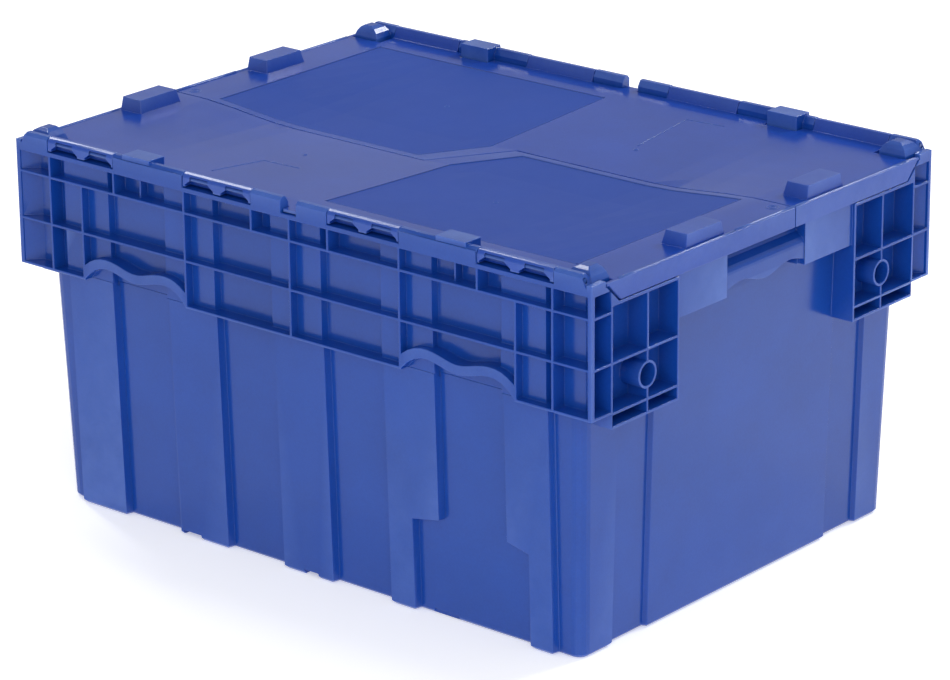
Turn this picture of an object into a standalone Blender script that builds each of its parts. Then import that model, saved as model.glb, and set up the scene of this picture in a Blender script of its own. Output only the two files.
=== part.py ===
"""Attached lid tote: one tub with a ribbed rim, two hinged lid flaps and four hinge rods.

Metres, +Z up. X runs along the hinges, the origin is on the floor under the middle.
"""
import math

import bmesh
import bpy
from mathutils import Matrix

# --- overall sizes -----------------------------------------------------------
HALF_LENGTH = 0.3555          # outer face of the end boxes and lid lips
HALF_RIB_LENGTH = 0.3533      # outer end of the rim on the long sides
HALF_WIDTH = 0.2591           # outer face of the rim ribs
RIM_TOP = 0.3630
HINGE_TOP = 0.3777            # top of the hinge line
CORNER_TOP = 0.3800           # top of the corner domes
POST_TOP = 0.3690             # upstand of the rim at each corner

# --- tub ----------------------------------------------------------------------
BASE_HALF_X, BASE_HALF_Y = 0.3195, 0.2345
DRAFT = 0.0275                # outward lean per metre of height
WALL = 0.0028
FLOOR_TOP = 0.006
CORNER_RADIUS = 0.012
CORNER_STEPS = 4
SIDE_PAD, END_PAD = 0.0075, 0.0045
PAD_SLOPE = 0.002
JOG_LOW, JOG_HIGH = 0.093, 0.099
# raised pads of a long wall from left to right: edges above and below the jog
SIDE_PADS = [((-0.300, -0.241), (-0.300, -0.241)), ((-0.167, -0.104), (-0.167, -0.104)),
             ((-0.031, 0.031), (-0.031, 0.031)), ((0.104, 0.165), (0.104, 0.133)),
             ((0.246, 0.297), (0.271, 0.297))]
END_PADS = [((-0.138, 0.138), (-0.138, 0.138))]
END_CORNER = 0.190            # the end wall is raised again beyond this
BASE_NOTCHES = [(-0.164, -0.140), (-0.006, 0.012), (0.150, 0.180)]
NOTCH_HEIGHT, NOTCH_DEPTH = 0.005, 0.014
BOTTOM_RECESS = (0.285, 0.200, 0.002)

# --- rim: rows and ribs ---------------------------------------------------------
ROW_1, ROW_2, ROW_3 = 0.3379, 0.2904, 0.2433
RIB = 0.0026
TOP_FLANGE = 0.0045
SIDE_POCKET_BACK, PAD_POCKET_BACK = 0.2440, 0.2503
CORNER_WALL_Y, CORNER_WALL_X = 0.2575, 0.3526   # ends of the diagonal wall in each corner
RIBS_ROW_1 = [0.0, 0.0474, 0.1334, 0.2250, 0.3110]
RIBS_ROW_2 = [0.0, 0.1334, 0.2688, 0.3110]
SHORT_RIB = (0.195, 0.009, 0.002)     # position, height, thickness
ARCH = (0.1334, 0.2688)               # hand arch between these ribs
ARCH_DIP, ARCH_CREST, ARCH_PEAK = 0.0098, 0.0164, 0.57   # rises, and where the crest is
ARCH_LIP, ARCH_STEPS = 0.0095, 20
LEDGE = (0.1770, 0.2125)              # ledge on the middle hinge lug
LEDGE_BACK, LEDGE_TOP = 0.2370, 0.3800

# --- ends: corner boxes, panel and grip -------------------------------------------
BOX_RIBS = [0.2306, 0.1796, 0.1341]
BOX_BOTTOM = 0.2290
END_POCKET_BACK = 0.3340
UNDER_LIP = 0.3462
POST_BACK, POST_SLANT = 0.2380, 0.2205   # the rim's corner follows the slanted end of the lid lip
POST_X = 0.3490
END_RIM_X = 0.3510
PANEL_X, PANEL_BOTTOM = 0.3525, 0.3050
BOSS_Z, BOSS_RADIUS, BOSS_BORE = 0.2665, 0.0132, 0.0106
GRIP_HALF, GRIP_TOP, GRIP_BAR_TOP = 0.0595, 0.3462, 0.3290
GRIP_BACK, FINGER_BACK, FINGER_FRONT, FINGER_TOP = 0.3375, 0.3325, 0.3470, 0.3255
SCALLOP, GRIP_INSET = 0.0075, 0.0012

# --- hinges -------------------------------------------------------------------------
PIN_Y, PIN_Z = 0.2553, 0.3718
PIN_RADIUS, PIN_HOLE, PIN_SIDES = 0.0020, 0.00245, 12
PIN_INNER, PIN_OUTER = 0.0125, 0.3452
LUG_INNER = (0.0095, 0.0470)
LUG_MIDDLE = (0.1336, 0.2250)
LUG_OUTER = (0.3128, HALF_RIB_LENGTH)
LUG_SLANT = ((0.3410, 0.3800), (0.3500, 0.3640))   # sloping end of the outer lug
LUG_BACK = 0.2475
KNUCKLE_GAP = 0.0005

# --- lid flaps ------------------------------------------------------------------------
LID_TOP, LID_PLATE = 0.3665, 0.0030
PART_Y, PART_GAP = 0.0395, 0.0008
JOG_LEFT, JOG_RIGHT = -0.0250, 0.0250
SAG, SAG_START_Y, SAG_FLAT_X, SAG_END_X = 0.0090, 0.2300, 0.1900, 0.3220
FENCE_Y = 0.2465
LIP_INNER_X, LIP_BOTTOM = 0.3522, 0.3472
LIP_NEAR_TOP, LIP_NEAR_BOTTOM = 0.2375, 0.2187
WINDOWS = [(0.0570, 0.0787), (0.1016, 0.1243), (0.2340, 0.2566), (0.2797, 0.3014)]
WINDOW_TOP, WINDOW_KNEE, WINDOW_SPREAD = 0.3746, 0.3708, 0.0065
FLANGE_BOTTOM = 0.3641
NOTCH_BACK = 0.2348           # flap edge behind the ledge
PANEL_LEFT, PANEL_RIGHT, PANEL_NEAR = 0.0040, 0.3010, 0.2120
PANEL_DEPTH, PANEL_EDGE = 0.0007, 0.0005
BLOCK_X, BLOCK_Y, BLOCK_TOP, BLOCK_TAPER = (0.3230, 0.3512), (0.0630, 0.1200), 0.3795, 0.003

PLASTIC = (0.035, 0.075, 0.36, 1.0)
ROD_BLUE = (0.025, 0.060, 0.30, 1.0)


def clear_scene():
    for obj in list(bpy.data.objects):
        bpy.data.objects.remove(obj, do_unlink=True)


def material(name, colour, metallic, roughness):
    mat = bpy.data.materials.new(name)
    mat.use_nodes = True
    shader = mat.node_tree.nodes["Principled BSDF"]
    shader.inputs["Base Color"].default_value = colour
    shader.inputs["Metallic"].default_value = metallic
    shader.inputs["Roughness"].default_value = roughness
    return mat


def make_object(name, bm):
    bmesh.ops.recalc_face_normals(bm, faces=bm.faces)
    mesh = bpy.data.meshes.new(name)
    bm.to_mesh(mesh)
    bm.free()
    obj = bpy.data.objects.new(name, mesh)
    bpy.context.scene.collection.objects.link(obj)
    return obj


def add_loft(bm, rings, closed=True):
    """Skin a list of point rings; the first and last are capped."""
    rows = [[bm.verts.new(p) for p in ring] for ring in rings]
    for low, high in zip(rows, rows[1:]):
        for i in range(len(low)):
            j = (i + 1) % len(low)
            bm.faces.new((low[i], low[j], high[j], high[i]))
    if closed:
        bm.faces.new(rows[0][::-1])
        bm.faces.new(rows[-1])


def add_box(bm, x, y, z):
    x, y, z = sorted(x), sorted(y), sorted(z)
    ring = [(x[0], y[0]), (x[1], y[0]), (x[1], y[1]), (x[0], y[1])]
    add_loft(bm, [[(px, py, pz) for px, py in ring] for pz in z])


def add_prism_y(bm, outline_xz, y):
    add_loft(bm, [[(px, py, pz) for px, pz in outline_xz] for py in y])


def add_prism_x(bm, outline_yz, x):
    add_loft(bm, [[(px, py, pz) for py, pz in outline_yz] for px in x])


def add_prism_z(bm, outline_xy, z):
    add_loft(bm, [[(px, py, pz) for px, py in outline_xy] for pz in z])


def add_rod(bm, radius, y, z, x, sides=PIN_SIDES):
    ring = [(y + radius * math.cos(2 * math.pi * i / sides),
             z + radius * math.sin(2 * math.pi * i / sides)) for i in range(sides)]
    add_prism_x(bm, ring, x)


def combine(target, tool, operation):
    mod = target.modifiers.new("shape", "BOOLEAN")
    mod.operation = operation
    mod.solver = "EXACT"
    mod.use_self = True
    mod.object = tool
    graph = bpy.context.evaluated_depsgraph_get()
    result = bpy.data.meshes.new_from_object(target.evaluated_get(graph))
    target.modifiers.clear()
    old = target.data
    target.data = result
    bpy.data.meshes.remove(old)
    bpy.data.objects.remove(tool, do_unlink=True)


def tool_from(builder):
    bm = bmesh.new()
    builder(bm)
    return make_object("tool", bm)


def half_turned(builder):
    """A tool built twice, the second time turned half round about Z."""
    bm = bmesh.new()
    builder(bm)
    count = len(bm.verts)
    builder(bm)
    bm.verts.ensure_lookup_table()
    for vert in bm.verts[count:]:
        vert.co.x, vert.co.y = -vert.co.x, -vert.co.y
    return make_object("tool", bm)


# --- tub outline -----------------------------------------------------------------------
def pad_points(pads, base, depth, low):
    """Points along one wall from left to right as (along, outward)."""
    points = []
    for upper, lower in pads:
        left, right = lower if low else upper
        points += [(left - PAD_SLOPE, base), (left, base + depth),
                   (right, base + depth), (right + PAD_SLOPE, base)]
    return points


def outline(half_x, half_y, side_pad, end_pad, low, shrink=0.0):
    """Counter-clockwise plan of the tub with raised pads on its walls."""
    def shrunk(pads):
        return [tuple((a + shrink, b - shrink) for a, b in pair) for pair in pads]

    front = pad_points(shrunk(SIDE_PADS), half_y, side_pad, low)
    end = pad_points(shrunk(END_PADS), half_x, end_pad, low)
    edge, raised = END_CORNER + shrink, half_x + end_pad
    end = ([(-edge, raised), (PAD_SLOPE - edge, half_x)] + end
           + [(edge - PAD_SLOPE, half_x), (edge, raised)])
    radius = CORNER_RADIUS - shrink
    points = []
    for turn, wall, along, out in ((0, front, raised, half_y), (1, end, half_y, raised),
                                   (2, front, raised, half_y), (3, end, half_y, raised)):
        local = list(wall)
        for i in range(CORNER_STEPS + 1):
            a = math.pi / 2 * i / CORNER_STEPS
            local.append((along - radius + radius * math.sin(a),
                          out - radius + radius * math.cos(a)))
        for s, t in local:
            points.append([(s, -t), (t, s), (-s, t), (-t, -s)][turn])
    return points


def tub_ring(z, side_pad, end_pad, low, inset=0.0):
    grow = DRAFT * z - inset
    plan = outline(BASE_HALF_X + grow, BASE_HALF_Y + grow, side_pad, end_pad, low, inset)
    return [(x, y, z) for x, y in plan]


def build_tub(bm):
    edge = 0.003
    rings = [tub_ring(0.0, SIDE_PAD, END_PAD, True, edge), tub_ring(edge, SIDE_PAD, END_PAD, True)]
    rings += [tub_ring(JOG_LOW, SIDE_PAD, END_PAD, True), tub_ring(JOG_HIGH, SIDE_PAD, END_PAD, False)]
    rings += [tub_ring(0.300, SIDE_PAD, END_PAD, False), tub_ring(RIM_TOP, 0.0, 0.0, False)]
    add_loft(bm, rings)


def build_cavity(bm):
    rings = [tub_ring(FLOOR_TOP, SIDE_PAD, END_PAD, True, WALL + 0.002),
             tub_ring(FLOOR_TOP + 0.006, SIDE_PAD, END_PAD, True, WALL),
             tub_ring(JOG_LOW, SIDE_PAD, END_PAD, True, WALL),
             tub_ring(JOG_HIGH, SIDE_PAD, END_PAD, False, WALL),
             tub_ring(0.290, SIDE_PAD, END_PAD, False, WALL),
             tub_ring(0.335, SIDE_PAD, 0.0, False, WALL),
             tub_ring(0.345, 0.0, 0.0, False, WALL),
             tub_ring(RIM_TOP + 0.03, 0.0, 0.0, False, WALL)]
    add_loft(bm, rings)


# --- rim ---------------------------------------------------------------------------------
def build_rim(bm):
    inner_y, inner_x = BASE_HALF_Y + 0.004, BASE_HALF_X + 0.004
    for s in (1, -1):
        add_box(bm, (-HALF_RIB_LENGTH, HALF_RIB_LENGTH), (s * inner_y, s * HALF_WIDTH), (ROW_3, RIM_TOP))
        add_box(bm, (s * inner_x, s * END_RIM_X), (-HALF_WIDTH, HALF_WIDTH), (UNDER_LIP - 0.004, RIM_TOP))
        add_box(bm, (s * inner_x, s * PANEL_X), (-0.140, 0.140), (PANEL_BOTTOM, UNDER_LIP))
        for t in (1, -1):
            corner = [(BOX_RIBS[2], ROW_3), (HALF_WIDTH, ROW_3), (HALF_WIDTH, RIM_TOP),
                      (POST_BACK, RIM_TOP), (POST_SLANT, UNDER_LIP), (BOX_RIBS[2], UNDER_LIP)]
            add_prism_x(bm, [(t * y, z) for y, z in corner], (s * inner_x, s * HALF_LENGTH))
            add_box(bm, (s * inner_x, s * HALF_LENGTH), (t * BOX_RIBS[2], t * BOX_RIBS[0]),
                    (BOX_BOTTOM, ROW_3 + 0.001))


def spans(ribs, half):
    """Clear spans between ribs on both sides of the middle."""
    right = sorted(ribs) + [half]
    out = []
    for a, b in zip(right, right[1:]):
        b_edge = b - (RIB if b == half else RIB / 2)
        out += [(a + RIB / 2, b_edge), (-b_edge, -a - RIB / 2)]
    return out


def arch_rise(x):
    """Rise of the hand arch's lower edge at x: a crest either side of a dip."""
    half = (ARCH[1] - ARCH[0]) / 2
    s = min(1.0, abs(abs(x) - ARCH[0] - half) / half)
    if s < ARCH_PEAK:
        return ARCH_DIP + (ARCH_CREST - ARCH_DIP) * (1 - math.cos(math.pi * s / ARCH_PEAK)) / 2
    return ARCH_CREST * (1 - ((s - ARCH_PEAK) / (1 - ARCH_PEAK)) ** 2)


def arch_top(x):
    """Upper edge of the arch: the lower edge moved out square to itself."""
    step = 0.0005
    slope = (arch_rise(x + step) - arch_rise(x - step)) / (2 * step)
    return arch_rise(x) + ARCH_LIP * math.sqrt(1 + slope * slope)


def pocket_back(x):
    """Depth of a pocket's back at x: it follows the raised pads of the tub wall."""
    for (left, right), _ in SIDE_PADS:
        rise = min(x - left + PAD_SLOPE, right + PAD_SLOPE - x, PAD_SLOPE) / PAD_SLOPE
        if rise > 0:
            return SIDE_POCKET_BACK + (PAD_POCKET_BACK - SIDE_POCKET_BACK) * rise
    return SIDE_POCKET_BACK


def pad_edges(low, high):
    """Where the pad edges fall between low and high."""
    edges = [x for (left, right), _ in SIDE_PADS
             for x in (left - PAD_SLOPE, left, right, right + PAD_SLOPE)]
    return [x for x in edges if low < x < high]


def pocket_plan(low, high):
    """Plan of one front pocket between two ribs; the end ones stop on a diagonal wall."""
    outer = HALF_WIDTH + 0.005
    back = [(x, pocket_back(x)) for x in [low] + pad_edges(low, high) + [high]]
    step = CORNER_WALL_Y - SIDE_POCKET_BACK
    if high > HALF_RIB_LENGTH - 2 * RIB:
        back = back[:-1] + [(high - step, SIDE_POCKET_BACK), (high, CORNER_WALL_Y)]
    if low < 2 * RIB - HALF_RIB_LENGTH:
        back = [(low, CORNER_WALL_Y), (low + step, SIDE_POCKET_BACK)] + back[1:]
    return [(x, -y) for x, y in back + [(high, outer), (low, outer)]]


def arch_runs(low, high):
    """Stretches of an arch with one depth each: (x stations, on a pad)."""
    edges = [e for e in pad_edges(low, high)]
    stops = [low] + [(a + b) / 2 for a, b in zip(edges[::2], edges[1::2])] + [high]
    for a, b in zip(stops, stops[1:]):
        count = max(3, int(ARCH_STEPS * (b - a) / (high - low)))
        stations = [a + (b - a) * i / count for i in range(count + 1)]
        yield stations, pocket_back((a + b) / 2) > (SIDE_POCKET_BACK + PAD_POCKET_BACK) / 2


def arch_spans():
    low, high = ARCH[0] + RIB / 2, ARCH[1] - RIB / 2
    return ((low, high), (-high, -low))


def build_side_pockets(bm):
    half = RIB / 2
    for x in spans(RIBS_ROW_1, HALF_RIB_LENGTH):
        add_prism_z(bm, pocket_plan(*x), (ROW_1 + half, RIM_TOP - TOP_FLANGE))
    for x in spans(RIBS_ROW_2, HALF_RIB_LENGTH):
        add_prism_z(bm, pocket_plan(*x), (ROW_2 + half, ROW_1 - half))
        if abs(abs(x[0] + x[1]) / 2 - sum(ARCH) / 2) > 0.01:
            add_prism_z(bm, pocket_plan(*x), (ROW_3 + RIB, ROW_2 - half))


def build_arch_pockets(bm, on_pad):
    """Pockets over the arches, for the stretches on a pad or for those between."""
    back = PAD_POCKET_BACK if on_pad else SIDE_POCKET_BACK
    for low, high in arch_spans():
        for stations, padded in arch_runs(low, high):
            if padded == on_pad:
                bottom = [(x, ROW_3 + arch_top(x)) for x in stations]
                top = [(stations[-1], ROW_2 - RIB / 2), (stations[0], ROW_2 - RIB / 2)]
                add_prism_y(bm, bottom + top, (-back, -HALF_WIDTH - 0.005))


def build_arch_cuts(bm, on_pad):
    """Room for the hand under the arches, back to the tub wall."""
    back = PAD_POCKET_BACK - 0.0011 if on_pad else SIDE_POCKET_BACK - 0.0022
    for low, high in arch_spans():
        for stations, padded in arch_runs(low, high):
            if padded == on_pad:
                top = [(x, ROW_3 + arch_rise(x)) for x in stations]
                floor = [(stations[-1], ROW_3 - 0.004), (stations[0], ROW_3 - 0.004)]
                add_prism_y(bm, top + floor, (-back, -HALF_WIDTH - 0.005))


def build_end_pockets(bm, s, t):
    x = (s * END_POCKET_BACK, s * (HALF_LENGTH + 0.005))
    half = RIB / 2
    outer, low, high = HALF_LENGTH + 0.005, BOX_RIBS[0] + half, HALF_WIDTH - 0.0043
    plan = [(outer, low), (outer, high), (CORNER_WALL_X, high),
            (END_POCKET_BACK, high - (CORNER_WALL_X - END_POCKET_BACK)), (END_POCKET_BACK, low)]
    for z in ((ROW_1 + half, RIM_TOP - TOP_FLANGE), (ROW_2 + half, ROW_1 - half), (ROW_3 + RIB, ROW_2 - half)):
        add_prism_z(bm, [(s * px, t * py) for px, py in plan], z)
    for a, b in zip(BOX_RIBS, BOX_RIBS[1:]):
        y = (t * (a - half), t * (b + (RIB if b == BOX_RIBS[-1] else half)))
        add_box(bm, x, y, (ROW_2 + half, UNDER_LIP - 0.003))
        add_box(bm, x, y, (ROW_3 + half, ROW_2 - half))
        add_box(bm, x, y, (BOX_BOTTOM + RIB, ROW_3 - half))


def build_late_parts(bm):
    """Bosses and short ribs that stand inside the pockets."""
    place, height, thick = SHORT_RIB
    for s in (1, -1):
        for t in (1, -1):
            bmesh.ops.create_cone(bm, cap_ends=True, segments=24, radius1=BOSS_RADIUS, radius2=BOSS_RADIUS,
                                  depth=HALF_LENGTH - END_POCKET_BACK + 0.001,
                                  matrix=turned_x((s * (HALF_LENGTH + END_POCKET_BACK - 0.001) / 2,
                                                   t * BOX_RIBS[1], BOSS_Z)))
            add_box(bm, (s * (place - thick / 2), s * (place + thick / 2)),
                    (t * (SIDE_POCKET_BACK - 0.001), t * (SIDE_POCKET_BACK + height)),
                    (ROW_1 - 0.0005, RIM_TOP - 0.001))


def turned_x(centre):
    return Matrix.Translation(centre) @ Matrix.Rotation(math.pi / 2, 4, "Y")


def build_boss_bores(bm):
    for s in (1, -1):
        for t in (1, -1):
            bmesh.ops.create_cone(bm, cap_ends=True, segments=24, radius1=BOSS_BORE, radius2=BOSS_BORE,
                                  depth=HALF_LENGTH - END_POCKET_BACK - 0.001,
                                  matrix=turned_x((s * (HALF_LENGTH + END_POCKET_BACK + 0.003) / 2,
                                                   t * BOX_RIBS[1], BOSS_Z)))


def scallop(y):
    """Height of the wavy lower edge of the end grip."""
    return PANEL_BOTTOM + 0.003 + SCALLOP * 0.5 * (1 - math.cos(2 * math.pi * y / GRIP_HALF / 1.25))


def build_grips(bm, s):
    low, high = GRIP_BAR_TOP, GRIP_TOP
    half = GRIP_HALF
    # a scoop that slopes down onto the bar's round top; the bar's face is set back a little
    face, out, foot = PANEL_X - GRIP_INSET, PANEL_X + 0.01, PANEL_BOTTOM - 0.004
    profile = [(GRIP_BACK, high), (out, high), (out, foot), (face, foot), (face, low - 0.004),
               (face - 0.0004, low - 0.0015), (face - 0.0014, low + 0.0008), (face - 0.0032, low + 0.0030),
               (face - 0.0058, low + 0.0050), (face - 0.0090, low + 0.0075)]
    add_loft(bm, [[(s * px, py, pz) for px, pz in profile] for py in (-half, half)])


def build_fingers(bm, s):
    half = GRIP_HALF - 0.003
    add_box(bm, (s * FINGER_BACK, s * FINGER_FRONT), (-half, half), (PANEL_BOTTOM - 0.002, FINGER_TOP))


def build_scallops(bm, s):
    half, steps = GRIP_HALF, 20
    ys = [-half + 2 * half * i / steps for i in range(steps + 1)]
    wave = [(y, scallop(y)) for y in ys] + [(half, PANEL_BOTTOM - 0.004), (-half, PANEL_BOTTOM - 0.004)]
    add_prism_x(bm, wave, (s * (FINGER_FRONT - 0.001), s * (PANEL_X + 0.004)))


def build_lugs(bm):
    """Hinge lugs of the front side."""
    front, back, low, high = -HALF_WIDTH, -LUG_BACK, RIM_TOP - 0.002, HINGE_TOP
    profile = [(front, low), (front, high - 0.003), (front + 0.003, high),
               (back - 0.004, high), (back, high - 0.006), (back, low)]
    for s in (1, -1):
        for x in (LUG_INNER, LUG_MIDDLE, LUG_OUTER):
            add_prism_x(bm, profile, (s * x[0], s * x[1]))


def build_lug_slants(bm):
    (top_x, top_z), (low_x, low_z) = LUG_SLANT
    far = HALF_LENGTH + 0.005
    for s in (1, -1):
        outline_xz = [(s * top_x, top_z), (s * low_x, low_z), (s * far, low_z), (s * far, top_z)]
        add_prism_y(bm, outline_xz, (-LUG_BACK + 0.002, -HALF_WIDTH - 0.005))


def build_corners(bm):
    """Ledges, corner domes and the upstand that wraps each corner, front side."""
    foot = [(0.3175, 0.2500), (0.3485, 0.2500), (0.3485, 0.2255), (0.3175, 0.2255)]
    waist = [(0.3200, 0.2487), (0.3462, 0.2487), (0.3462, 0.2266), (0.3200, 0.2266)]
    shoulder = [(0.3238, 0.2462), (0.3428, 0.2462), (0.3428, 0.2280), (0.3238, 0.2280)]
    top = [(0.3285, 0.2415), (0.3385, 0.2415), (0.3385, 0.2300), (0.3285, 0.2300)]
    for s in (1, -1):
        rings = [(foot, RIM_TOP - 0.002), (foot, LID_TOP + 0.002), (waist, LID_TOP + 0.007),
                 (shoulder, CORNER_TOP - 0.0025), (top, CORNER_TOP)]
        add_loft(bm, [[(s * x, -y, z) for x, y in ring] for ring, z in rings])
        add_box(bm, (s * LEDGE[0], s * LEDGE[1]), (-HALF_WIDTH + 0.0006, -LEDGE_BACK), (RIM_TOP - 0.002, LEDGE_TOP))
        add_box(bm, (s * POST_X, s * HALF_LENGTH), (-HALF_WIDTH, -POST_BACK - 0.001), (RIM_TOP - 0.002, POST_TOP))


def build_final_cuts(bm):
    """Pin holes, base notches and the bottom recess."""
    for t in (1, -1):
        for s in (1, -1):
            add_rod(bm, PIN_HOLE, t * PIN_Y, PIN_Z, (s * (PIN_INNER - 0.0005), s * (HALF_RIB_LENGTH + 0.003)))
        for a, b in BASE_NOTCHES:
            add_box(bm, (t * a, t * b), (-t * 0.2325, -t * 0.2600), (-0.002, NOTCH_HEIGHT))
    x, y, depth = BOTTOM_RECESS
    add_box(bm, (-x, x), (-y, y), (-0.002, depth))


def build_container():
    body = tool_from(build_tub)
    body.name = "container_body"
    combine(body, tool_from(build_rim), "UNION")
    corners = [(s, t) for s in (1, -1) for t in (1, -1)]
    combine(body, half_turned(build_side_pockets), "DIFFERENCE")
    combine(body, tool_from(lambda bm: [build_end_pockets(bm, s, t) for s, t in corners]), "DIFFERENCE")
    for on_pad in (True, False):
        combine(body, half_turned(lambda bm: build_arch_pockets(bm, on_pad)), "DIFFERENCE")
        combine(body, half_turned(lambda bm: build_arch_cuts(bm, on_pad)), "DIFFERENCE")
    combine(body, tool_from(build_late_parts), "UNION")
    combine(body, tool_from(build_boss_bores), "DIFFERENCE")
    combine(body, tool_from(lambda bm: [build_grips(bm, s) for s in (1, -1)]), "DIFFERENCE")
    combine(body, tool_from(lambda bm: [build_fingers(bm, s) for s in (1, -1)]), "DIFFERENCE")
    combine(body, tool_from(lambda bm: [build_scallops(bm, s) for s in (1, -1)]), "DIFFERENCE")
    combine(body, tool_from(build_cavity), "DIFFERENCE")
    combine(body, half_turned(build_lugs), "UNION")
    combine(body, half_turned(build_lug_slants), "DIFFERENCE")
    combine(body, half_turned(build_corners), "UNION")
    combine(body, tool_from(build_final_cuts), "DIFFERENCE")
    return body


# --- lid flaps -------------------------------------------------------------------------
def parting(x):
    """y of the middle of the gap between the flaps."""
    if x <= JOG_LEFT:
        return -PART_Y
    if x >= JOG_RIGHT:
        return PART_Y
    return -PART_Y + 2 * PART_Y * (x - JOG_LEFT) / (JOG_RIGHT - JOG_LEFT)


def sag(x, y):
    """How far the flap droops below its hinge edge."""
    across = max(0.0, min(1.0, (SAG_START_Y + y) / (SAG_START_Y - PART_Y)))
    along = max(0.0, min(1.0, (SAG_END_X - abs(x)) / (SAG_END_X - SAG_FLAT_X)))
    return SAG * across * along * along * (3 - 2 * along)


def panel_far(x):
    """Far edge of the shallow panel: parallel to the parting line."""
    return min(PART_Y - 0.0100, -0.0310 + (x - 0.0060) * 1.76)


def lid_columns():
    e = PANEL_EDGE
    right = [PANEL_LEFT, PANEL_LEFT + e, JOG_RIGHT, 0.0405, 0.07, 0.10, 0.13, 0.16, 0.19, 0.22, 0.25, 0.275,
             PANEL_RIGHT - e, PANEL_RIGHT, 0.3095, SAG_END_X, 0.345]
    left = [-0.345, -SAG_END_X, -0.3095, -0.275, -0.25, -0.22, -0.19, -0.16, -0.13, -0.10, -0.07, JOG_LEFT]
    return [-HALF_LENGTH] + left + right + [HALF_LENGTH]


def lid_rows(x, near):
    """y stations of one column, from the hinge edge to the parting line."""
    edge = parting(x) - PART_GAP
    far = panel_far(x) if x >= PANEL_LEFT else edge - 0.030
    e = PANEL_EDGE
    start = -PANEL_NEAR
    inner = [start + e + (far - e - start - e) * i / 4 for i in range(5)]
    return [near, -SAG_START_Y + 0.004, start] + inner + [far, edge]


def build_plate(bm):
    """Drooping plate with the shallow panel let into its top."""
    near = -FENCE_Y
    columns = [lid_rows(x, near) for x in lid_columns()]
    last = len(columns[0]) - 1
    top, bottom = [], []
    for x, ys in zip(lid_columns(), columns):
        inside = PANEL_LEFT < x < PANEL_RIGHT
        tops, bottoms = [], []
        for j, y in enumerate(ys):
            drop = sag(x, y) + (PANEL_DEPTH if inside and 3 <= j <= last - 2 else 0.0)
            tops.append(bm.verts.new((x, y, LID_TOP - drop)))
            bottoms.append(bm.verts.new((x, y, LID_TOP - LID_PLATE - sag(x, y))))
        top.append(tops)
        bottom.append(bottoms)
    for i in range(len(top) - 1):
        for j in range(last):
            bm.faces.new((top[i][j], top[i + 1][j], top[i + 1][j + 1], top[i][j + 1]))
            bm.faces.new((bottom[i][j], bottom[i][j + 1], bottom[i + 1][j + 1], bottom[i + 1][j]))
        for j in (0, last):
            bm.faces.new((top[i][j], bottom[i][j], bottom[i + 1][j], top[i + 1][j]))
    for i in (0, len(top) - 1):
        for j in range(last):
            bm.faces.new((top[i][j], top[i][j + 1], bottom[i][j + 1], bottom[i][j]))


def build_lid_parts(bm):
    """Hinge knuckles, middle tab, end lips and stacking blocks."""
    front, back, top = -HALF_WIDTH, -FENCE_Y, HINGE_TOP
    fence = [(front + 0.0006, FLANGE_BOTTOM), (front + 0.0003, 0.3700), (front + 0.0003, 0.3730),
             (front + 0.0017, 0.3763), (front + 0.0048, top), (back - 0.004, top),
             (back + 0.0012, LID_TOP - 0.001), (back + 0.0012, LID_TOP - LID_PLATE + 0.0004),
             (back - 0.006, FLANGE_BOTTOM)]
    tab = LUG_INNER[0] - KNUCKLE_GAP
    add_box(bm, (-tab, tab), (-0.2561, -FENCE_Y + 0.001), (LID_TOP - LID_PLATE + 0.0003, LID_TOP))
    for s in (1, -1):
        for a, b in ((LUG_INNER[1], LUG_MIDDLE[0]), (LUG_MIDDLE[1], LUG_OUTER[0])):
            add_prism_x(bm, fence, (s * (a + KNUCKLE_GAP), s * (b - KNUCKLE_GAP)))
        far = parting(s * HALF_LENGTH) - PART_GAP
        lip = [(-LIP_NEAR_TOP, LID_TOP - 0.0002), (far, LID_TOP - 0.0002), (far, LIP_BOTTOM),
               (-LIP_NEAR_BOTTOM, LIP_BOTTOM)]
        add_prism_x(bm, lip, (s * LIP_INNER_X, s * HALF_LENGTH))
        rings = []
        for z, c in ((LID_TOP - 0.001, 0.0), (BLOCK_TOP, BLOCK_TAPER)):
            x = (s * (BLOCK_X[0] + c), s * (BLOCK_X[1] - c / 3))
            y = (-BLOCK_Y[1] + c, -BLOCK_Y[0] - c)
            rings.append([(x[0], y[0], z), (x[1], y[0], z), (x[1], y[1], z), (x[0], y[1], z)])
        add_loft(bm, rings)


def window_outline(low, high, s):
    """A window that spreads below the rod."""
    wide, foot, bottom = WINDOW_SPREAD, 0.3660, 0.355
    points = [(low, WINDOW_TOP), (high, WINDOW_TOP), (high, WINDOW_KNEE), (high + wide, foot),
              (high + wide, bottom), (low - wide, bottom), (low - wide, foot), (low, WINDOW_KNEE)]
    return [(s * x, z) for x, z in points]


def build_lid_cuts(bm):
    """Room for the tub's lugs, ledges and domes, and the windows over the rods."""
    under, over, out = 0.35, 0.40, -0.27
    for s in (1, -1):
        add_box(bm, (s * (LUG_INNER[0] - KNUCKLE_GAP), s * (LUG_INNER[1] + KNUCKLE_GAP)),
                (out, -LUG_BACK + 0.0006), (under, over))
        add_box(bm, (s * (LEDGE[0] - 0.0012), s * (LEDGE[1] + 0.0012)), (out, -NOTCH_BACK), (under, over))
        corner = [(out, under), (out, over), (-0.2243, over), (-0.2243, under)]
        add_prism_x(bm, corner, (s * (LUG_OUTER[0] - KNUCKLE_GAP), s * (LIP_INNER_X - 0.0008)))
        edge = [(out, under), (out, over), (-LIP_NEAR_TOP, over), (-LIP_NEAR_TOP, under)]
        add_prism_x(bm, edge, (s * (LIP_INNER_X - 0.003), s * 0.36))
        for low, high in WINDOWS:
            add_prism_y(bm, window_outline(low, high, s), (out, -0.2505))


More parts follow.
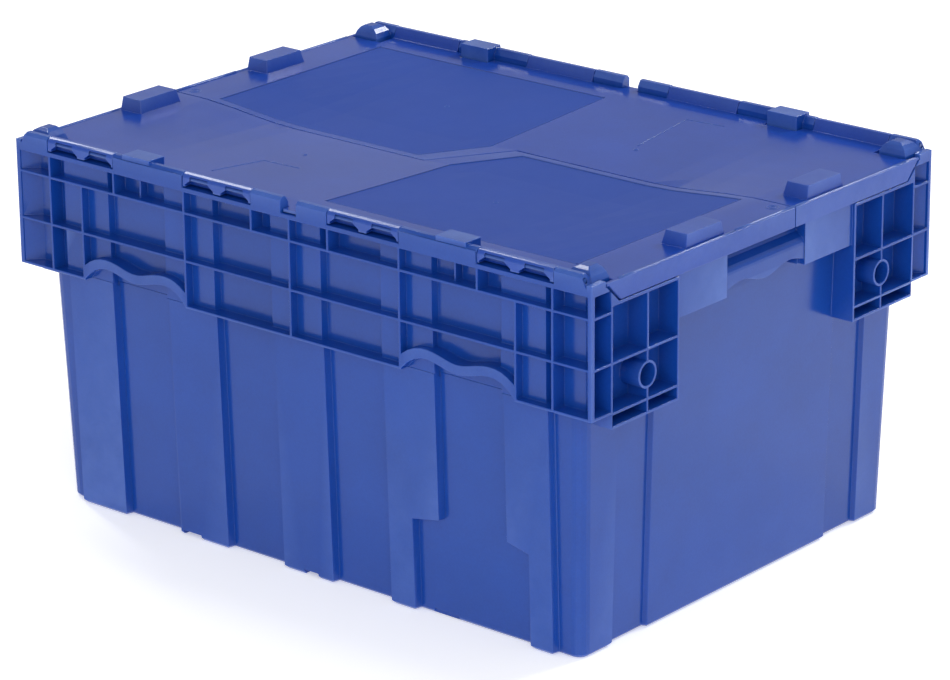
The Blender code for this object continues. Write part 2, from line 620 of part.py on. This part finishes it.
def build_pin_bores(bm):
    for s in (1, -1):
        add_rod(bm, PIN_HOLE, -PIN_Y, PIN_Z, (s * 0.040, s * 0.320))


def build_flap(name):
    flap = tool_from(build_plate)
    flap.name = name
    combine(flap, tool_from(build_lid_parts), "UNION")
    combine(flap, tool_from(build_lid_cuts), "DIFFERENCE")
    combine(flap, tool_from(build_pin_bores), "DIFFERENCE")
    return flap


def build_rod(name, s, t):
    bm = bmesh.new()
    add_rod(bm, PIN_RADIUS, 0.0, 0.0, (s * (PIN_INNER + 0.0003), s * PIN_OUTER))
    rod = make_object(name, bm)
    rod.location = (0.0, t * PIN_Y, PIN_Z)
    return rod


def clean(obj):
    bm = bmesh.new()
    bm.from_mesh(obj.data)
    bmesh.ops.remove_doubles(bm, verts=bm.verts, dist=0.00002)
    bmesh.ops.dissolve_degenerate(bm, edges=bm.edges, dist=0.00002)
    bmesh.ops.dissolve_limit(bm, angle_limit=math.radians(0.2), verts=bm.verts, edges=bm.edges)
    bmesh.ops.triangulate(bm, faces=bm.faces)
    bmesh.ops.recalc_face_normals(bm, faces=bm.faces)
    bm.to_mesh(obj.data)
    bm.free()


def set_origin(obj, y, z):
    """Move a flap's origin onto its hinge axis."""
    obj.data.transform(Matrix.Translation((0.0, -y, -z)))
    obj.location = (0.0, y, z)


def main():
    clear_scene()
    blue = [material("plastic_" + n, PLASTIC, 0.0, 0.45) for n in ("container", "lid_front", "lid_back")]
    body = build_container()
    front = build_flap("lid_front")
    back = build_flap("lid_back")
    for obj, mat in zip((body, front, back), blue):
        clean(obj)
        obj.data.materials.clear()
        obj.data.materials.append(mat)
    set_origin(front, -PIN_Y, PIN_Z)
    set_origin(back, -PIN_Y, PIN_Z)
    back.rotation_euler = (0.0, 0.0, math.pi)
    back.location = (0.0, PIN_Y, PIN_Z)
    for t, side in ((-1, "front"), (1, "back")):
        for s, end in ((-1, "left"), (1, "right")):
            rod = build_rod("hinge_rod_%s_%s" % (side, end), s, t)
            rod.data.materials.append(material("rod_%s_%s" % (side, end), ROD_BLUE, 0.0, 0.2))
            for face in rod.data.polygons:
                face.use_smooth = abs(face.normal.x) < 0.5


main()
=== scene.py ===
"""Looks of the attached lid tote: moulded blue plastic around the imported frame."""
import math
import bpy
import bmesh
from mathutils import Euler, Matrix, Vector
from mathutils.bvhtree import BVHTree


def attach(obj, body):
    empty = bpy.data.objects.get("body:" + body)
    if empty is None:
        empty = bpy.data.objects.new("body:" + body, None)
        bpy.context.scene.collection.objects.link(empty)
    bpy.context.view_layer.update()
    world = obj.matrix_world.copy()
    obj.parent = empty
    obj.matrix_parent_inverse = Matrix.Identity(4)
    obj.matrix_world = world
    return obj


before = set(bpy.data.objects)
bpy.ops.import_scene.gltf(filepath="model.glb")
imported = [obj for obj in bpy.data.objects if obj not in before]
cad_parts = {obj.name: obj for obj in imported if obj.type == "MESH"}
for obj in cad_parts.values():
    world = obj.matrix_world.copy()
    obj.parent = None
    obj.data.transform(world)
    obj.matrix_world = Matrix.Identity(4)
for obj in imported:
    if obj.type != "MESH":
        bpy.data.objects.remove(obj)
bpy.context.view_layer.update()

# ---------------------------------------------------------------- camera and light
EYE = (2.51255, -2.96364, 1.55404)
TILT, ROLL, HEADING = 70.386, 0.487, 40.078      # degrees; the view is level at a tilt of 90
LENS, SENSOR = 160.56, 36.0                      # millimetres

SKY_STRENGTH = 0.52
LIGHTS = (
    # name, place, the point it looks at, width and height, watts
    ("key", (1.9, -2.6, 1.8), (0, 0, 0.2), (2.0, 2.0), 35),
    ("strip_left", (-1.94, 0.35, 2.6), (0, -0.2, 0.35), (0.25, 1.3), 18),
    ("strip_back", (0.86, 2.3, 2.2), (0.2, 0, 0.35), (0.7, 0.5), 34),
)
FLOOR_SIZE, FLOOR_DROP = 14.0, 0.0003
FLOOR_COLOUR, FLOOR_ROUGH, FLOOR_SPECULAR, FLOOR_GLOW = (0.98, 0.98, 0.98, 1), 0.9, 0.1, 0.40

# ---------------------------------------------------------------- plastics
# each look's second colour is painted on the sharp edges to make them paler: a painted highlight
BODY_LOOK = {"base": (0.0068, 0.060, 0.350), "edge_highlight": (0.10, 0.20, 0.60), "rough": 0.18, "specular": 0.40}
LID_LOOK = {"base": (0.0100, 0.056, 0.370), "edge_highlight": (0.09, 0.17, 0.50), "rough": 0.20, "specular": 0.32,
            "panel": (0.0050, 0.052, 0.350)}
# noises: scale per metre, detail, roughness
CLOUD = (9.0, 4.0, 0.6)            # broad patches of tone
SPECK = (420.0, 2.0, 0.6)          # fine mottling
PATCH = (38.0, 3.0, 0.6)           # patches of shine and of the painted edge highlight
GRAIN = (900.0, 2.0, 0.5)          # moulded grain
CLOUD_SHARE = 0.65                 # of the mottling; the speck has the rest
MOTTLE_LOW, MOTTLE_HIGH = 0.35, 0.65
TONE_SPREAD, PANEL_SPREAD, SHINE_SPREAD = 0.10, 0.15, 0.03
PANEL_DULLNESS = 0.30              # roughness that an etched panel adds
EDGE_START, EDGE_FULL = 0.515, 0.58     # pointiness at which the painted edge highlight starts, and is full
EDGE_HIGHLIGHT_FLOOR = 0.15                  # strength of the painted edge highlight where the patch noise is 0
GRAIN_STRENGTH, GRAIN_DEPTH = 0.08, 0.0004
SCATTER, SCATTER_RADIUS, SCATTER_SCALE = 0.2, (0.3, 0.5, 1.0), 0.004    # light under the surface

ROD_DARK, ROD_LIGHT, ROD_ROUGH = (0.020, 0.070, 0.30), (0.040, 0.100, 0.38), (0.10, 0.20)
STREAK_STRETCH = (30.0, 1500.0, 1500.0)          # streaks per metre along and across a rod
STREAK = (1.0, 3.0, 0.6)
STREAK_STRENGTH, STREAK_DEPTH = 0.1, 0.0002

# the etched panel of the front flap; its far corner is cut off at a slant beside the seam's step
PANEL_X, PANEL_Y = (0.0040, 0.3010), (-0.2120, 0.0305)
SLANT_START, SLANT_RISE = (0.0060, -0.0310), 1.76

# ---------------------------------------------------------------- mouldings
WELD_DISTANCE = 0.00004
ROUNDING, ROUNDING_STEPS = 0.0007, 2             # edge radius
SHARP_ANGLE = 28.0                               # degrees; only sharper edges are rounded

# marks on the flaps, on the -Y side; the back flap's are half-turned
LID_TOP = 0.3665                                 # upper face of the flaps where they don't sag
NEAR_LINE = ((-0.143, -0.209), (-0.133, -0.147), (-0.090, -0.145))      # on the front flap
FAR_LINE = ((-0.113, -0.1155), (-0.105, -0.2035), (-0.148, -0.207))     # on the back flap
LINE_WIDTH, LINE_STEP = 0.0014, 0.006
RELIEF = 0.0004                                  # rise of the lines and rings
GATES, GATE_RADIUS, GATE_WIDTH = ((-0.119, -0.105), (0.119, -0.105)), 0.0024, 0.0010
DIMPLE, DIMPLE_RADII, DIMPLE_WIDTH = (0.339, 0.026), (0.0058, 0.0026), 0.0012
RING_SIDES = 28
BEAD_X, BEAD_WIDTH, BEAD_STEP = 0.3531, 0.0040, 0.02
BEADS = (
    # x, lowest y, highest y, rise
    (BEAD_X, -0.2187, -0.0497, 0.0008),
    (BEAD_X, -0.0485, 0.0397, 0.0016),
    (-BEAD_X, -0.2187, -0.0413, 0.0008),
)
RAY_START = 1.0                                  # well above the tote
RIDGE_SINK = 0.0007                              # how far a ridge's feet reach below the surface
SHOULDER, SHOULDER_RISE = 0.34, 0.75             # of a ridge's width and rise

FLAPS = (
    # node, body, turn (-1 is half-turned), raised line
    ("lid_front", "front_flap", 1, NEAR_LINE),
    ("lid_back", "back_flap", -1, FAR_LINE),
)


def add_camera():
    """A long lens that looks down on the -Y side and the +X end."""
    camera = bpy.data.cameras.new("camera")
    camera.lens = LENS
    camera.sensor_width = SENSOR
    holder = bpy.data.objects.new("camera", camera)
    turn = Euler([math.radians(angle) for angle in (TILT, ROLL, HEADING)])
    holder.matrix_world = Matrix.Translation(EYE) @ turn.to_matrix().to_4x4()
    bpy.context.scene.collection.objects.link(holder)
    bpy.context.scene.camera = holder


def add_area(name, place, target, size, power):
    """A soft box at place that looks at target."""
    light = bpy.data.lights.new(name, "AREA")
    light.shape = "RECTANGLE"
    light.size, light.size_y = size
    light.energy = power
    holder = bpy.data.objects.new(name, light)
    way = Vector(target) - Vector(place)
    turn = way.to_track_quat("-Z", "Y").to_matrix().to_4x4()
    holder.matrix_world = Matrix.Translation(place) @ turn
    bpy.context.scene.collection.objects.link(holder)


def add_world():
    """An even white sky."""
    world = bpy.data.worlds.new("studio")
    world.use_nodes = True
    sky = world.node_tree.nodes["Background"]
    sky.inputs["Color"].default_value = (1, 1, 1, 1)
    sky.inputs["Strength"].default_value = SKY_STRENGTH
    bpy.context.scene.world = world


def add_floor():
    """A plain pale floor, just under the tote."""
    bpy.ops.mesh.primitive_plane_add(size=FLOOR_SIZE, location=(0, 0, -FLOOR_DROP))
    floor = bpy.context.object
    floor.name = "floor"
    mat, shader = new_material("floor")
    shader.inputs["Base Color"].default_value = FLOOR_COLOUR
    shader.inputs["Roughness"].default_value = FLOOR_ROUGH
    shader.inputs["Specular IOR Level"].default_value = FLOOR_SPECULAR
    shader.inputs["Emission Color"].default_value = (1, 1, 1, 1)
    shader.inputs["Emission Strength"].default_value = FLOOR_GLOW
    floor.data.materials.append(mat)


# ---------------------------------------------------------------- shader helpers
def new_material(name):
    """A material and its Principled shader."""
    mat = bpy.data.materials.new(name)
    mat.use_nodes = True
    return mat, mat.node_tree.nodes["Principled BSDF"]


def node(tree, kind, **inputs):
    """Adds a shader node; keyword names are its input sockets, with _ for a space."""
    made = tree.nodes.new(kind)
    for key, value in inputs.items():
        made.inputs[key.replace("_", " ")].default_value = value
    return made


def math_node(tree, operation, first, second):
    """A math node fed by sockets or numbers; returns its output."""
    made = tree.nodes.new("ShaderNodeMath")
    made.operation = operation
    for slot, value in enumerate((first, second)):
        if isinstance(value, (int, float)):
            made.inputs[slot].default_value = value
        else:
            tree.links.new(value, made.inputs[slot])
    return made.outputs["Value"]


def blend(tree, factor, first, second):
    """Mixes two colours; each is a socket or a tuple."""
    first_slot, second_slot, result_slot = 6, 7, 2      # where a mix node keeps its colours
    mix = tree.nodes.new("ShaderNodeMix")
    mix.data_type = "RGBA"
    tree.links.new(factor, mix.inputs["Factor"])
    for slot, value in ((first_slot, first), (second_slot, second)):
        if isinstance(value, tuple):
            mix.inputs[slot].default_value = value + (1,)
        else:
            tree.links.new(value, mix.inputs[slot])
    return mix.outputs[result_slot]


def noise(tree, place, look):
    """A noise with a look of scale, detail and roughness."""
    scale, detail, roughness = look
    made = node(tree, "ShaderNodeTexNoise", Scale=scale, Detail=detail, Roughness=roughness)
    tree.links.new(place, made.inputs["Vector"])
    return made.outputs["Fac"]


def shade(colour, factor):
    return tuple(c * factor for c in colour)


def add_bump(tree, shader, height, strength, distance):
    bump = node(tree, "ShaderNodeBump", Strength=strength, Distance=distance)
    tree.links.new(height, bump.inputs["Height"])
    tree.links.new(bump.outputs["Normal"], shader.inputs["Normal"])


# ---------------------------------------------------------------- materials
def plastic(name, look, turn=0):
    """Moulded polyethylene: mottled colour, grain, and sharp edges painted paler as a painted highlight.

    turn is 1 on the front flap and -1 on the back one, whose etched panels are darker and duller.
    """
    mat, shader = new_material(name)
    tree = mat.node_tree
    link = tree.links.new
    place = node(tree, "ShaderNodeTexCoord").outputs["Object"]

    cloud = math_node(tree, "MULTIPLY", noise(tree, place, CLOUD), CLOUD_SHARE)
    speck = math_node(tree, "MULTIPLY", noise(tree, place, SPECK), 1 - CLOUD_SHARE)
    mottle = math_node(tree, "ADD", cloud, speck)
    tone = node(tree, "ShaderNodeValToRGB")
    low, high = tone.color_ramp.elements
    low.position, high.position = MOTTLE_LOW, MOTTLE_HIGH
    low.color = shade(look["base"], 1 - TONE_SPREAD) + (1,)
    high.color = shade(look["base"], 1 + TONE_SPREAD) + (1,)
    link(mottle, tone.inputs["Fac"])
    colour = tone.outputs["Color"]

    patch = noise(tree, place, PATCH)
    shine = node(tree, "ShaderNodeMapRange",
                 To_Min=look["rough"] - SHINE_SPREAD, To_Max=look["rough"] + SHINE_SPREAD)
    link(patch, shine.inputs["Value"])
    rough = shine.outputs["Result"]

    if turn:
        inside = panel_mask(tree, place, turn)
        dark, light = shade(look["panel"], 1 - PANEL_SPREAD), shade(look["panel"], 1 + PANEL_SPREAD)
        colour = blend(tree, inside, colour, blend(tree, mottle, dark, light))
        rough = math_node(tree, "ADD", rough, math_node(tree, "MULTIPLY", inside, PANEL_DULLNESS))

    # sharp edges painted paler in patches: a painted highlight in place of the glints on rounded edges
    edge = node(tree, "ShaderNodeMapRange", From_Min=EDGE_START, From_Max=EDGE_FULL)
    link(node(tree, "ShaderNodeNewGeometry").outputs["Pointiness"], edge.inputs["Value"])
    edge_highlight_mask = math_node(tree, "MULTIPLY", edge.outputs["Result"], math_node(tree, "ADD", patch, EDGE_HIGHLIGHT_FLOOR))
    link(blend(tree, edge_highlight_mask, colour, look["edge_highlight"]), shader.inputs["Base Color"])
    link(rough, shader.inputs["Roughness"])
    shader.inputs["Specular IOR Level"].default_value = look["specular"]
    shader.inputs["Subsurface Weight"].default_value = SCATTER
    shader.inputs["Subsurface Radius"].default_value = SCATTER_RADIUS
    shader.inputs["Subsurface Scale"].default_value = SCATTER_SCALE
    add_bump(tree, shader, noise(tree, place, GRAIN), GRAIN_STRENGTH, GRAIN_DEPTH)
    return mat


def panel_mask(tree, place, turn):
    """1 inside a flap's etched panel, 0 outside."""
    split = tree.nodes.new("ShaderNodeSeparateXYZ")
    tree.links.new(place, split.inputs["Vector"])
    x = math_node(tree, "MULTIPLY", split.outputs["X"], turn)
    y = math_node(tree, "MULTIPLY", split.outputs["Y"], turn)
    slant = math_node(tree, "ADD", math_node(tree, "MULTIPLY", x, SLANT_RISE),
                      SLANT_START[1] - SLANT_START[0] * SLANT_RISE)
    inside = math_node(tree, "LESS_THAN", math_node(tree, "SUBTRACT", y, slant), 0.0)
    for value, (low, high) in ((x, PANEL_X), (y, PANEL_Y)):
        above = math_node(tree, "GREATER_THAN", value, low)
        below = math_node(tree, "LESS_THAN", value, high)
        inside = math_node(tree, "MULTIPLY", inside, math_node(tree, "MULTIPLY", above, below))
    return inside


def rod_plastic(name):
    """Smooth blue bar with faint streaks along it."""
    mat, shader = new_material(name)
    tree = mat.node_tree
    link = tree.links.new
    stretch = node(tree, "ShaderNodeMapping", Scale=STREAK_STRETCH)
    link(node(tree, "ShaderNodeTexCoord").outputs["Object"], stretch.inputs["Vector"])
    streak = noise(tree, stretch.outputs["Vector"], STREAK)
    link(blend(tree, streak, ROD_DARK, ROD_LIGHT), shader.inputs["Base Color"])
    shine = node(tree, "ShaderNodeMapRange", To_Min=ROD_ROUGH[0], To_Max=ROD_ROUGH[1])
    link(streak, shine.inputs["Value"])
    link(shine.outputs["Result"], shader.inputs["Roughness"])
    add_bump(tree, shader, streak, STREAK_STRENGTH, STREAK_DEPTH)
    return mat


def dress(name, mat):
    """Gives a CAD node its material."""
    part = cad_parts[name]
    part.data.materials.clear()
    part.data.materials.append(mat)


def round_edges(name):
    """Small radii on a moulding's sharp edges."""
    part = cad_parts[name]
    weld = part.modifiers.new("weld", "WELD")
    weld.merge_threshold = WELD_DISTANCE
    edge = part.modifiers.new("edge", "BEVEL")
    edge.width = ROUNDING
    edge.segments = ROUNDING_STEPS
    edge.limit_method = "ANGLE"
    edge.angle_limit = math.radians(SHARP_ANGLE)
    edge.use_clamp_overlap = False
    edge.harden_normals = True


# ---------------------------------------------------------------- raised marks on the flaps
def surface_of(name):
    """A function that gives the height of a flap's upper face at x, y."""
    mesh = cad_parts[name].data
    corners = [vertex.co.copy() for vertex in mesh.vertices]
    tree = BVHTree.FromPolygons(corners, [tuple(face.vertices) for face in mesh.polygons])

    def height(x, y):
        place = tree.ray_cast(Vector((x, y, RAY_START)), Vector((0, 0, -1)))[0]
        return place.z if place else LID_TOP
    return height


def walk(points, step):
    """Points about every step metres along a broken line."""
    path = []
    for first, second in zip(points, points[1:]):
        count = max(1, int((second - first).length / step))
        path += [first.lerp(second, i / count) for i in range(count)]
    return path + [points[-1]]


def circle(centre, radius):
    turn = 2 * math.pi / RING_SIDES
    return [(centre[0] + radius * math.cos(i * turn), centre[1] + radius * math.sin(i * turn))
            for i in range(RING_SIDES)]


def raised_line(bm, path, height, width, rise, closed=False):
    """A low rounded ridge that follows path over the surface given by height."""
    section = ((-0.5, -RIDGE_SINK), (-SHOULDER, rise * SHOULDER_RISE), (0.0, rise),
               (SHOULDER, rise * SHOULDER_RISE), (0.5, -RIDGE_SINK))
    rings, count = [], len(path)
    for i, point in enumerate(path):
        before = path[i - 1] if closed or i else point
        after = path[(i + 1) % count] if closed or i < count - 1 else point
        along = (after - before).normalized()
        side = Vector((-along.y, along.x)) * width
        base = height(point.x, point.y)
        rings.append([bm.verts.new((point.x + side.x * a, point.y + side.y * a, base + b))
                      for a, b in section])
    size = len(section)
    for i in range(count if closed else count - 1):
        first, second = rings[i], rings[(i + 1) % count]
        for j in range(size):
            bm.faces.new((first[j], first[(j + 1) % size], second[(j + 1) % size], second[j]))
    if not closed:
        bm.faces.new(rings[0])
        bm.faces.new(reversed(rings[-1]))


def finish_piece(name, bm, flap, body):
    """Turns bm into a smooth piece of the flap's plastic that rides on its body."""
    bmesh.ops.recalc_face_normals(bm, faces=bm.faces)
    mesh = bpy.data.meshes.new(name)
    bm.to_mesh(mesh)
    bm.free()
    for face in mesh.polygons:
        face.use_smooth = True
    piece = bpy.data.objects.new(name, mesh)
    bpy.context.scene.collection.objects.link(piece)
    piece.data.materials.append(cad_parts[flap].data.materials[0])
    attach(piece, body)


def add_flap_relief(flap, body, turn, line):
    """The raised line, gate rings, dimple and lip beads of one flap."""
    height = surface_of(flap)

    def place(points):
        return [Vector((turn * x, turn * y)) for x, y in points]

    bm = bmesh.new()
    raised_line(bm, walk(place(line), LINE_STEP), height, LINE_WIDTH, RELIEF)
    finish_piece(flap + "_raised_line", bm, flap, body)

    bm = bmesh.new()
    for gate in GATES:
        raised_line(bm, place(circle(gate, GATE_RADIUS)), height, GATE_WIDTH, RELIEF, closed=True)
    for radius in DIMPLE_RADII:
        raised_line(bm, place(circle(DIMPLE, radius)), height, DIMPLE_WIDTH, RELIEF, closed=True)
    finish_piece(flap + "_gate_rings", bm, flap, body)

    bm = bmesh.new()
    for x, low, high, rise in BEADS:
        path = walk(place(((x, low), (x, high))), BEAD_STEP)
        raised_line(bm, path, lambda a, b: LID_TOP, BEAD_WIDTH, rise)
    finish_piece(flap + "_lip_bead", bm, flap, body)


dress("container_body", plastic("container_plastic", BODY_LOOK))
dress("lid_front", plastic("lid_plastic_front", LID_LOOK, 1))
dress("lid_back", plastic("lid_plastic_back", LID_LOOK, -1))
rod_look = rod_plastic("rod_plastic")
for node_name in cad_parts:
    if node_name.startswith("hinge_rod"):
        dress(node_name, rod_look)
for node_name in ("container_body", "lid_front", "lid_back"):
    round_edges(node_name)
for flap_facts in FLAPS:
    add_flap_relief(*flap_facts)

add_camera()
add_world()
for light_facts in LIGHTS:
    add_area(*light_facts)
add_floor()
bpy.context.scene.view_settings.view_transform = "Standard"
